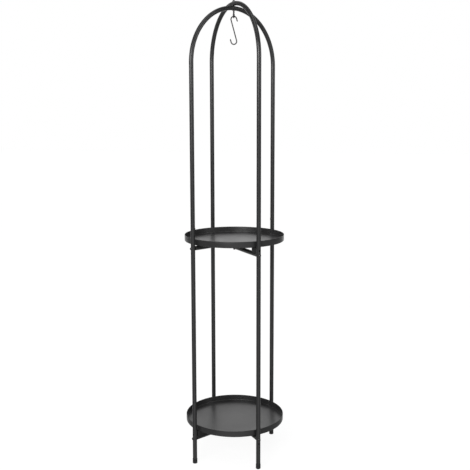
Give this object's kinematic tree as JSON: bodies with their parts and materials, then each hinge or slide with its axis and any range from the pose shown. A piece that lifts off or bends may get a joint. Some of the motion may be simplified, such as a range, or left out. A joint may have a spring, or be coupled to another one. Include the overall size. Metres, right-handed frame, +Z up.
{
  "type": "plant stand",
  "caption": "Tall plant stand of crossed tube arches on straight legs, with stacked round trays that lift off and an S hook under the crossing.",
  "frame": {"origin": "on the floor, on the upright axis through the crossing of the arches", "axes": "+Z up along the legs; -Y is the front, midway between the two front legs"},
  "size_m": [0.35, 0.35, 1.602],
  "materials": {
    "frame_coat": "charcoal black powder coat, satin, very fine texture",
    "tray_coat": "charcoal black powder coat, satin, with soft blurred reflections",
    "black_hardware": "black plated steel screws, nuts and eye bolt",
    "hook_steel": "black coated steel wire",
    "black_plastic": "fine-grained moulded plastic"
  },
  "bodies": {
    "main_frame": {"arch_over": "frame_coat", "rivet_nut_arch_over": "black_hardware", "upper_bar_under": "frame_coat", "lower_bar_over": "frame_coat", "rivet_nut_lower_bar": "black_hardware", "upper_riser_back_left": "black_plastic", "upper_riser_front_right": "black_plastic", "upper_centre_screw": "black_hardware", "lower_centre_screw": "black_hardware", "eye_bolt": "black_hardware", "leg_back_left": "frame_coat", "foot_back_left": "black_plastic", "joint_sleeve_back_left": "black_hardware", "joint_screw_back_left": "black_hardware", "upper_bolt_back_left": "black_hardware", "upper_plug_back_left": "black_plastic", "lower_bolt_back_left": "black_hardware", "lower_plug_back_left": "black_plastic", "leg_front_right": "frame_coat", "foot_front_right": "black_plastic", "joint_sleeve_front_right": "black_hardware", "joint_screw_front_right": "black_hardware", "upper_bolt_front_right": "black_hardware", "upper_plug_front_right": "black_plastic", "lower_bolt_front_right": "black_hardware", "lower_plug_front_right": "black_plastic"},
    "swing_frame": {"arch_under": "frame_coat", "rivet_nut_arch_under": "black_hardware", "upper_bar_over": "frame_coat", "rivet_nut_upper_bar": "black_hardware", "lower_bar_under": "frame_coat", "lower_riser_front_left": "black_plastic", "lower_riser_back_right": "black_plastic", "leg_front_left": "frame_coat", "foot_front_left": "black_plastic", "joint_sleeve_front_left": "black_hardware", "joint_screw_front_left": "black_hardware", "upper_bolt_front_left": "black_hardware", "upper_plug_front_left": "black_plastic", "lower_bolt_front_left": "black_hardware", "lower_plug_front_left": "black_plastic", "leg_back_right": "frame_coat", "foot_back_right": "black_plastic", "joint_sleeve_back_right": "black_hardware", "joint_screw_back_right": "black_hardware", "upper_bolt_back_right": "black_hardware", "upper_plug_back_right": "black_plastic", "lower_bolt_back_right": "black_hardware", "lower_plug_back_right": "black_plastic"},
    "upper_tray": {"upper_tray": "tray_coat"},
    "lower_tray": {"lower_tray": "tray_coat"},
    "hook": {"hanging_hook": "hook_steel"}
  },
  "joints": [
    {"name": "frame_fold", "type": "hinge", "parent": "main_frame", "child": "swing_frame", "pos_m": [0, 0, 0.75], "axis": [0, 0, 1], "range_deg": [-98, 66]},
    {"name": "upper_tray_lift", "type": "slide", "parent": "main_frame", "child": "upper_tray", "axis": [0, 0, 1], "range_m": [0, 0.58]},
    {"name": "lower_tray_lift", "type": "slide", "parent": "main_frame", "child": "lower_tray", "axis": [0, 0, 1], "range_m": [0, 0.55]},
    {"name": "hook_swing", "type": "hinge", "parent": "main_frame", "child": "hook", "pos_m": [0, 0, 1.53595], "axis": [0, 1, 0], "range_deg": [-35, 35]}
  ]
}
